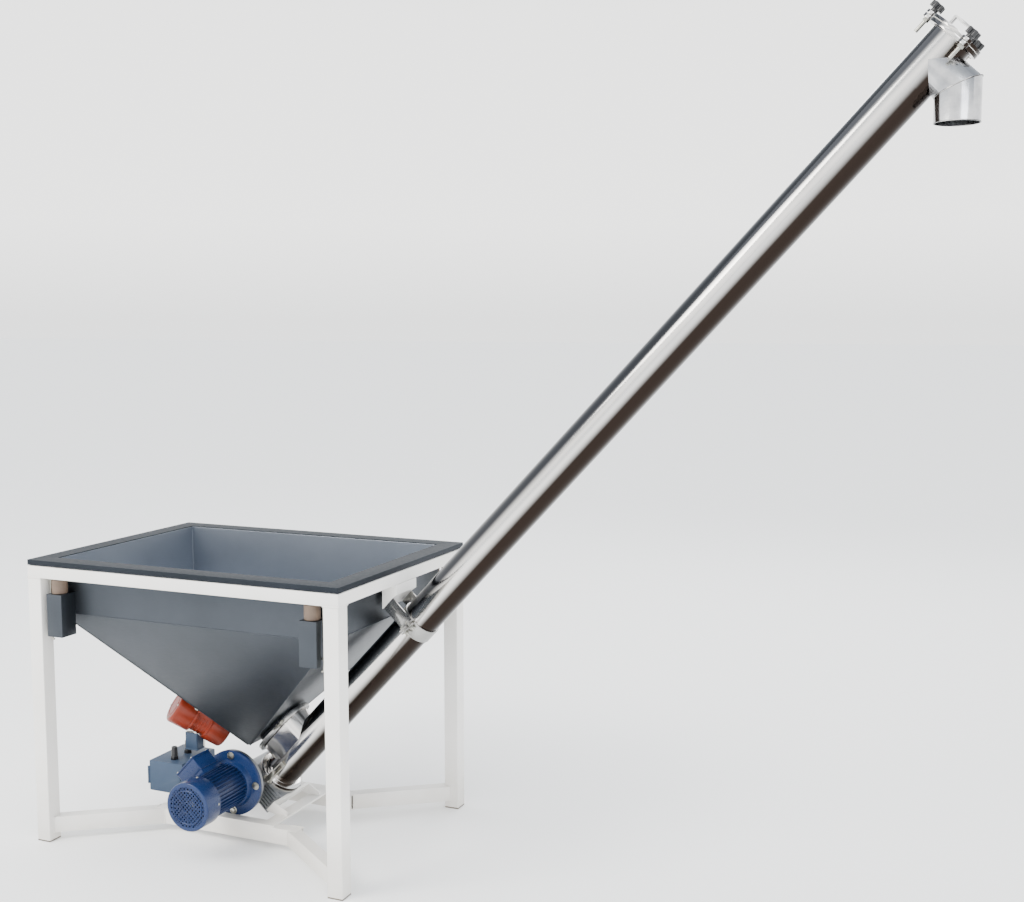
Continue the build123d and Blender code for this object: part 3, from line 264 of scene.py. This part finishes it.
mitred = ("hopper_shell", "top_ring", "hopper_rim", "centre_frame")
finishOf = {"spout": finishes["spout_steel"]}  # nodes finished otherwise than their slot


def workedCopy(node):
    makeActive(nodes[node])
    bpy.ops.object.duplicate()
    piece = bpy.context.object
    for key in list(piece.keys()):
        del piece[key]
    piece.parent = None
    bpy.ops.object.mode_set(mode="EDIT")
    bpy.ops.mesh.select_all(action="SELECT")
    bpy.ops.mesh.remove_doubles(threshold=0.000002)
    bpy.ops.mesh.dissolve_limited(angle_limit=math.radians(0.4))
    if node in mitred:  # pieces that meet in faces inside the metal
        bpy.ops.mesh.select_all(action="DESELECT")
        bpy.ops.mesh.select_interior_faces()
        bpy.ops.mesh.delete(type="FACE")
    bpy.ops.object.mode_set(mode="OBJECT")
    if piece.data.has_custom_normals:
        bpy.ops.mesh.customdata_custom_splitnormals_clear()
    width = edgeWidths.get(node, edgeDefault)
    if width:
        roundEdges(piece, width)
    smooth(piece, foldSmooth if node == "hopper_shell" else 32)
    finishPiece(piece, node + "_worked", bodyOf[node], slotOf[node], finishOf.get(node))
    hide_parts(node)
    return piece


worked = {}
for node in sorted(nodes):
    worked[node] = workedCopy(node)
shell = worked["hopper_shell"].data
shell.materials.append(finishes["hopper_inside"])
for face in shell.polygons:
    if face.normal.x * face.center.x + face.normal.y * face.center.y < 0 and face.normal.z > -0.2:
        face.material_index = 1
print("CAD nodes worked:", len(worked))

# weld beads are rows of overlapping ripples; the pitch is the step from one to the next
weld = {"pitch": 0.0026, "width": 0.007, "height": 0.0018, "hopperWidth": 0.0045, "hopperHeight": 0.0009}


def beadRow(start, end, up, width, height, pitch):
    start, end = Vector(start), Vector(end)
    run = end - start
    count = max(2, round(run.length / pitch))
    x = run.normalized()
    y = Vector(up).cross(x).normalized()
    z = x.cross(y)
    deselectAll()
    bpy.ops.mesh.primitive_ico_sphere_add(subdivisions=1, radius=0.5)
    row = bpy.context.object
    turn = Matrix((x, y, z)).transposed().to_4x4()
    row.matrix_world = Matrix.Translation(start) @ turn @ Matrix.Diagonal((pitch * 2.1, width, height * 2, 1))
    bpy.ops.object.transform_apply(location=True, rotation=True, scale=True)
    array = row.modifiers.new("Row", "ARRAY")
    array.use_relative_offset = False
    array.use_constant_offset = True
    array.constant_offset_displace = run / count
    array.count = count + 1
    bpy.ops.object.modifier_apply(modifier=array.name)
    return row


def joinPieces(pieces):
    deselectAll()
    for piece in pieces:
        piece.select_set(True)
    bpy.context.view_layer.objects.active = pieces[0]
    if len(pieces) > 1:
        bpy.ops.object.join()
    return bpy.context.object


def weldRows(name, runs, body, slot, width, height, pitch=weld["pitch"], material=None):
    piece = joinPieces([beadRow(start, end, up, width, height, pitch) for start, end, up in runs])
    makeActive(piece)
    bpy.ops.object.shade_smooth()
    return finishPiece(piece, name, body, slot, material)


stand = {"outX": 0.556, "outY": 0.403, "inX": 0.506, "inY": 0.353, "ringLow": 0.844, "braceLow": 0.025,
         "braceTop": 0.075, "braceRun": (0.266, 0.193), "frameX": 0.265, "frameY": 0.185, "rail": 0.04,
         "crossX": 0.226, "crossY": 0.145, "plateX": (-0.0605, 0.1805), "plateY": (0.15, 0.18)}
braceTurn = math.atan2(stand["braceRun"][1], stand["braceRun"][0])
half = stand["rail"] / 2
halfLeg = (stand["outX"] - stand["inX"]) / 2
legMidX, legMidY = stand["outX"] - halfLeg, stand["outY"] - halfLeg
legCut = legMidY + (half / math.cos(braceTurn) - halfLeg * math.tan(braceTurn))
legCutX = legMidX - (halfLeg / math.tan(braceTurn) - half / math.sin(braceTurn))
frameCut = stand["frameY"] - half / math.cos(braceTurn)
frameCutX = stand["frameX"] - half / math.sin(braceTurn)
runs = []
for sx in (-1, 1):
    for sy in (-1, 1):
        z = stand["ringLow"]
        outX, outY, inX, inY = (sx * stand["outX"], sy * stand["outY"], sx * stand["inX"], sy * stand["inY"])
        runs += [((inX, outY, z), (outX, outY, z), (0, sy, 0)),
                 ((outX, inY, z), (outX, outY, z), (sx, 0, 0)),
                 ((inX, inY, z), (inX, outY, z), (-sx, 0, -0.6)),
                 ((inX, inY, z), (outX, inY, z), (0, -sy, -0.6))]
        low, top = stand["braceLow"], stand["braceTop"]
        runs += [((inX, sy * legCut, low), (inX, sy * legCut, top), (-sx, sy, 0)),
                 ((sx * legCutX, inY, low), (sx * legCutX, inY, top), (sx, -sy, 0)),
                 ((inX, sy * legCut, top), (inX, inY, top), (-sx, 0, 1)),
                 ((inX, inY, top), (sx * legCutX, inY, top), (0, -sy, 1))]
        fx, fy = sx * stand["frameX"], sy * stand["frameY"]
        runs += [((fx, sy * frameCut, low), (fx, sy * frameCut, top), (sx, -sy, 0)),
                 ((sx * frameCutX, fy, low), (sx * frameCutX, fy, top), (-sx, sy, 0)),
                 ((fx, sy * frameCut, top), (fx, fy, top), (0, 0, 1)),
                 ((fx, fy, top), (sx * frameCutX, fy, top), (0, 0, 1)),
                 ((sx * stand["crossX"], sy * stand["crossY"], top), (fx, sy * stand["crossY"], top),
                  (0, 0, 1))]
plateTop = stand["braceTop"] + 0.001
near, far = stand["plateY"]
for x in stand["plateX"]:  # the gearbox plate on the centre frame's rails
    for sy in (-1, 1):
        runs.append(((x, sy * near, plateTop), (x, sy * far, plateTop), (-1 if x < 0 else 1, 0, 1)))
weldRows("stand_weld_beads", runs, "stand", "frame_paint", weld["width"], weld["height"])

hopper = {"mouthX": 0.494, "mouthY": 0.341, "fold": 0.728, "tip": 0.279, "tipX": 0.012, "tipHalf": 0.006,
          "tipY": 0.062, "weldPitch": 0.004, "insideStep": 0.004, "insideUpTo": 0.16, "skirtWeld": 0.15}
runs, insideRuns = [], []
for sx in (-1, 1):
    for sy in (-1, 1):
        high = Vector((sx * hopper["mouthX"], sy * hopper["mouthY"], hopper["fold"]))
        low = Vector((hopper["tipX"] + sx * hopper["tipHalf"], sy * hopper["tipY"], hopper["tip"]))
        runs.append((high, low, (sx, sy, -0.7)))
        inside = Vector((-sx * hopper["insideStep"], -sy * hopper["insideStep"], 0.001))
        foot = high + inside
        insideRuns.append((foot, low.lerp(high, hopper["insideUpTo"]) + inside, (-sx, -sy, 0.7)))
        insideRuns.append((foot, foot + Vector((0, 0, hopper["skirtWeld"])), (-sx, -sy, 0)))
x, y, fold = hopper["mouthX"], hopper["mouthY"], hopper["fold"]
for side in (-1, 1):  # the skirt is welded on round the fold
    runs.append(((-x, side * y, fold), (x, side * y, fold), (0, side, 0)))
    runs.append(((side * x, -y, fold), (side * x, y, fold), (side, 0, 0)))
for name, rows, finish in (("hopper_corner_welds", runs, "hopper_steel"),
                           ("hopper_inside_welds", insideRuns, "hopper_inside")):
    weldRows(name, rows, "hopper", "hopper_steel", weld["hopperWidth"], weld["hopperHeight"],
             hopper["weldPitch"], finishes[finish])
print("weld beads laid")


def aimed(place, direction, spin=0.0):
    facing = Vector(direction).to_track_quat("Z", "Y").to_matrix().to_4x4()
    return Matrix.Translation(Vector(place)) @ facing @ Matrix.Rotation(spin, 4, "Z")


def settle(piece, where):
    makeActive(piece)
    piece.matrix_world = where @ piece.matrix_world
    bpy.ops.object.transform_apply(location=True, rotation=True, scale=True)
    return piece


def ringBead(place, direction, major, minor):
    deselectAll()
    bpy.ops.mesh.primitive_torus_add(major_radius=major, minor_radius=minor,
                                     major_segments=96, minor_segments=10)
    return settle(bpy.context.object, aimed(place, direction))


def drum(place, direction, radius, depth, sides=32, edge=0.0006, spin=0.0):  # its foot is at the place
    deselectAll()
    bpy.ops.mesh.primitive_cylinder_add(vertices=sides, radius=radius, depth=depth,
                                        location=(0, 0, depth / 2))
    piece = bpy.context.object
    bpy.ops.object.transform_apply(location=True, rotation=True, scale=True)
    if edge:
        roundEdges(piece, edge, 2, 40)
    return settle(piece, aimed(place, direction, spin))


def slab(place, direction, wide, long, thick, edge=0.0006, spin=0.0):
    deselectAll()
    bpy.ops.mesh.primitive_cube_add(size=1, location=(0, 0, thick / 2))
    piece = bpy.context.object
    piece.scale = (wide, long, thick)
    bpy.ops.object.transform_apply(location=True, rotation=True, scale=True)
    if edge:
        roundEdges(piece, edge, 2, 40)
    return settle(piece, aimed(place, direction, spin))


def screwHead(place, direction, radius, high):  # pan head with a cross recess
    deselectAll()
    bpy.ops.mesh.primitive_uv_sphere_add(segments=24, ring_count=12, radius=radius)
    head = bpy.context.object
    head.scale = (1, 1, high / radius)
    bpy.ops.object.transform_apply(location=False, rotation=False, scale=True)
    settle(head, aimed(place, direction))
    top = Vector(place) + Vector(direction).normalized() * (high - 0.0004)
    marks = [slab(top, direction, radius * 1.1, radius * 0.24, 0.0006, 0, spin)
             for spin in (0.4, 0.4 + math.pi / 2)]
    return joinPieces([head] + marks)


def assembled(name, parts, body, slot, angle=35):
    piece = joinPieces(parts)
    smooth(piece, angle)
    return finishPiece(piece, name, body, slot)


def cableGland(place, direction, radius, high):  # nut, domed cap and rubber throat
    up = Vector(direction).normalized()
    parts = [drum(place, up, radius * 1.15, high * 0.28, 6, 0.0008),
             drum(Vector(place) + up * high * 0.28, up, radius * 0.92, high * 0.2, 32, 0.0006),
             drum(Vector(place) + up * high * 0.46, up, radius * 1.02, high * 0.36, 12, 0.0012),
             drum(Vector(place) + up * high * 0.8, up, radius * 0.7, high * 0.2, 32, 0.0016)]
    return parts


# the long tube's end welds, the spout's mitre seam and its rolled lip
spout = {"station": 2.993, "drop": 0.093, "length": 0.087, "bead": 0.0016}
corner = tubePoint(spout["station"], -spout["drop"])
seam = Vector((0, 0, -1)).angle(-offTube) / 2
assembled("tube_weld_rings", [
    ringBead(tubePoint(tube["foot"] + 0.0102), alongTube, tube["radius"] + 0.0004, 0.002),
    ringBead(tubePoint(tube["head"] - 0.0102), alongTube, tube["radius"] + 0.0004, 0.002)],
    "stand", "tube_steel")
deselectAll()
bpy.ops.mesh.primitive_torus_add(major_radius=tube["radius"] + 0.0002, minor_radius=spout["bead"],
                                 major_segments=96, minor_segments=10)
seamRing = bpy.context.object
planeX = Vector((0, 1, 0))
seamNormal = (-offTube + Vector((0, 0, -1))).normalized()
stretchAxis = seamNormal.cross(planeX).normalized()
basis = Matrix((planeX, stretchAxis, planeX.cross(stretchAxis))).transposed().to_4x4()
settle(seamRing, Matrix.Translation(corner) @ basis @ Matrix.Diagonal((1, 1 / math.cos(seam), 1, 1)))
lowLip = corner + Vector((0, 0, -spout["length"] + 0.0012))
assembled("spout_seams", [seamRing, ringBead(lowLip, (0, 0, 1), tube["radius"] - 0.0008, 0.0013)],
          "stand", "tube_steel")
print("tube dressed")

# the motor: cowl spokes, screws, washers under the flange bolts, a blank plate and a gland
motor = {"radius": 0.068, "cowl": 0.075, "face": -0.376, "cowlStart": -0.31, "flangeFace": -0.147,
         "boltCircle": 0.088, "boltTurn": math.pi / 4, "platePlace": -0.232, "plateTurn": math.radians(188),
         "plateWide": 0.052, "plateHigh": 0.036, "spokes": 8, "spokeMiddle": 0.034, "screwStep": 0.01}
gear = tubePoint(tube["gearStation"], tube["gearCentres"])


def onMotor(y, radius=0.0, angle=0.0):  # angle from the tube's direction, turning up
    heading = alongTube * math.cos(angle) + offTube * math.sin(angle)
    return Vector((gear.x, y, gear.z)) + heading * radius, heading


parts = [ringBead(onMotor(motor["face"] - 0.0002)[0], (0, -1, 0), 0.0515, 0.0018),
         ringBead(onMotor(motor["face"] - 0.0006)[0], (0, -1, 0), 0.017, 0.0014)]
for number in range(motor["spokes"]):
    turn = number * math.tau / motor["spokes"]
    place, heading = onMotor(motor["face"] + 0.0004, motor["spokeMiddle"], turn)
    rib = slab(place, (0, -1, 0), 0.002, 0.034, 0.0016, 0.0004)
    angle = math.atan2(heading.z, heading.x)
    settle(rib, Matrix.Translation(place) @ Matrix.Rotation(math.pi / 2 - angle, 4, "Y")
           @ Matrix.Translation(-place))
    parts.append(rib)
quarters = [motor["boltTurn"] + number * math.pi / 2 for number in range(4)]
screwPlace = motor["cowlStart"] - motor["screwStep"]
for angle in quarters:
    place, heading = onMotor(screwPlace, motor["cowl"] - 0.001, angle)
    parts.append(ringBead(place, heading, 0.0045, 0.0012))
assembled("motor_cowl_ribs", parts, "stand", "motor_paint")
parts = []
for angle in quarters:
    place, heading = onMotor(screwPlace, motor["cowl"] - 0.0004, angle)
    parts.append(screwHead(place, heading, 0.0038, 0.0024))
for angle in quarters:
    place, heading = onMotor(motor["flangeFace"] - 0.0002, motor["boltCircle"], angle)
    parts.append(drum(place, (0, -1, 0), 0.0125, 0.0012, 32, 0.0004))
assembled("motor_screws", parts, "stand", "zinc_steel")
place, heading = onMotor(motor["platePlace"], motor["radius"] - 0.0004, motor["plateTurn"])
plate = slab(place, heading, motor["plateWide"], motor["plateHigh"], 0.0008, 0.0003)
side = Vector((0, 1, 0)).cross(heading).normalized()
rivets = [drum(place + Vector((0, across, 0)) + side * up, heading, 0.0016, 0.0016, 16, 0.0004)
          for across in (-0.022, 0.022) for up in (-0.0145, 0.0145)]
assembled("motor_blank_plate", [plate] + rivets, "stand", "clamp_steel")
boxLow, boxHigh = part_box("motor_terminal_box")
boxMid = (Vector(boxLow) + Vector(boxHigh)) / 2
assembled("motor_gland", cableGland(boxMid - alongTube * 0.044, -alongTube, 0.011, 0.03),
          "stand", "black_plastic")
print("motor dressed")

# the vibrator: cast ribs, cap screws and the lid and gland of its connection box
vibrator = {"y": -0.036, "skew": math.radians(35), "upSlope": 0.185, "drop": 0.092, "ribStep": 0.0115,
            "ribRadius": 0.0462, "end": 0.0975, "screwCircle": 0.044,
            "boxX": -0.202, "boxY": -0.06, "boxWide": 0.05, "boxDeep": 0.041, "boxLow": 0.244}
upSlope = Vector((-0.5, 0, 0.449)).normalized()  # from the hopper's tip up its left slope
away = Vector((-upSlope.z, 0, upSlope.x)).normalized()
heading = -upSlope * math.cos(vibrator["skew"]) + Vector((0, 1, 0)) * math.sin(vibrator["skew"])
heading = heading.normalized()
slopeFoot = Vector((hopper["tipX"] - hopper["tipHalf"], vibrator["y"], hopper["tip"]))
core = slopeFoot + upSlope * vibrator["upSlope"] + away * vibrator["drop"]
across = away.cross(heading).normalized()
parts = []
for number in range(5):
    shift = (number - 2) * vibrator["ribStep"]
    parts.append(ringBead(core + heading * shift, heading, vibrator["ribRadius"], 0.0019))
for side in (-1, 1):
    parts.append(ringBead(core + heading * side * vibrator["end"], heading, 0.034, 0.0016))
assembled("vibrator_ribs", parts, "hopper", "vibrator_paint")
parts = []
for side in (-1, 1):
    for number in range(4):
        angle = math.pi / 4 + number * math.pi / 2
        out = away * math.cos(angle) + across * math.sin(angle)
        place = core + heading * side * (vibrator["end"] + 0.0003) + out * vibrator["screwCircle"]
        parts.append(screwHead(place, heading * side, 0.0038, 0.0026))
assembled("vibrator_cap_screws", parts, "hopper", "zinc_steel")
base = Vector((vibrator["boxX"], vibrator["boxY"], vibrator["boxLow"]))
assembled("vibrator_box_lid", [
    slab(base - Vector((0, 0, 0.005)), (0, 0, 1), vibrator["boxWide"], vibrator["boxDeep"], 0.0052, 0.0015)],
    "hopper", "box_paint")
assembled("vibrator_box_gland", cableGland(base + Vector((0, vibrator["boxDeep"] / 2, 0.018)), (0, 1, 0),
                                           0.008, 0.022), "hopper", "black_plastic")
print("vibrator dressed")

# a fine skin of the long tube, so that its long highlights run smooth
skin = {"start": 0.345, "end": 2.925, "proud": 0.00015, "thick": 0.0004, "sides": 160}
deselectAll()
bpy.ops.mesh.primitive_cylinder_add(vertices=skin["sides"], radius=tube["radius"] + skin["proud"],
                                    depth=skin["end"] - skin["start"], end_fill_type="NOTHING")
sleeve = bpy.context.object
wall = sleeve.modifiers.new("Wall", "SOLIDIFY")
wall.thickness = skin["thick"]
wall.offset = -1
bpy.ops.object.modifier_apply(modifier=wall.name)
settle(sleeve, aimed(tubePoint((skin["start"] + skin["end"]) / 2), alongTube))
assembled("tube_skin", [sleeve], "stand", "tube_steel")
print("tube skin laid")

studio = {"floorSize": 160.0, "floorTone": "#FAFAF9", "worldStrength": 3.0, "sunPower": 3.2,
          "sunSpread": math.radians(80)}
deselectAll()
bpy.ops.mesh.primitive_plane_add(size=studio["floorSize"], location=(0, 0, -0.0005))
floor = bpy.context.object
floor.name = "floor"
bpy.ops.object.transform_apply(location=True, rotation=True, scale=True)
floor.data.materials.append(makeFinish("paleStudioFloor", studio["floorTone"], studio["floorTone"], 0.0, 0.8,
                                       blotch=900, grain=6, height=0.0))

world = bpy.data.worlds.new("softStudio")
bpy.context.scene.world = world
world.use_nodes = True
sky = world.node_tree
direction = addNode(sky, "ShaderNodeTexCoord").outputs["Generated"]
heights = addNode(sky, "ShaderNodeSeparateXYZ", links={"Vector": direction})
ramp = addNode(sky, "ShaderNodeValToRGB", links={"Fac": heights.outputs["Z"]})
stops = ramp.color_ramp.elements
stops[0].position, stops[0].color = 0.0, linear("#DCDDDD")
stops[1].position, stops[1].color = 0.95, linear("#8C9197")
for spot, tone in ((0.07, "#F8F8F7"), (0.22, "#F6F6F5"), (0.42, "#C2C6CA"), (0.6, "#A0A5AA")):
    stop = stops.new(spot)
    stop.color = linear(tone)
back = sky.nodes["Background"]
sky.links.new(ramp.outputs["Color"], back.inputs["Color"])
back.inputs["Strength"].default_value = studio["worldStrength"]


def areaLight(name, place, aim, width, height, power, tone):
    bpy.ops.object.light_add(type="AREA", location=place)
    light = bpy.context.object
    light.name = name
    light.rotation_euler = (Vector(aim) - Vector(place)).to_track_quat("-Z", "Y").to_euler()
    light.data.shape = "RECTANGLE"
    light.data.size, light.data.size_y = width, height
    light.data.energy = power
    light.data.color = linear(tone)[:3]
    return light


deselectAll()
areaLight("keySoftbox", (-2.6, -4.2, 4.6), (0.5, 0, 0.8), 2.6, 2.6, 330, "#FFFBF4")
areaLight("fillSoftbox", (4.6, -3.4, 2.6), (0.6, 0, 0.8), 2.4, 2.4, 90, "#F3F7FF")
areaLight("rimSoftbox", (1.0, 4.6, 4.2), (0.6, 0, 1.0), 3.0, 2.0, 130, "#FFFFFF")

bpy.ops.object.light_add(type="SUN", location=(0, 0, 6))
sun = bpy.context.object
sun.name = "skySun"
sun.rotation_euler = (math.radians(18), math.radians(-14), 0)
sun.data.energy = studio["sunPower"]
sun.data.angle = studio["sunSpread"]

view = {"place": (2.4014, -3.4712, 1.6413), "azimuth": 23.3, "down": 5.81, "roll": -0.07, "lens": 45.9}
bpy.ops.object.camera_add(location=view["place"])
camera = bpy.context.object
turn, down = math.radians(view["azimuth"]), math.radians(view["down"])
aim = Vector((-math.sin(turn) * math.cos(down), math.cos(turn) * math.cos(down), -math.sin(down)))
camera.rotation_mode = "QUATERNION"
camera.rotation_quaternion = aim.to_track_quat("-Z", "Y") @ Matrix.Rotation(
    math.radians(view["roll"]), 3, "Z").to_quaternion()
camera.data.lens = view["lens"]
camera.data.sensor_width = 36.0
camera.data.clip_end = 400
bpy.context.scene.camera = camera
print("stage set")
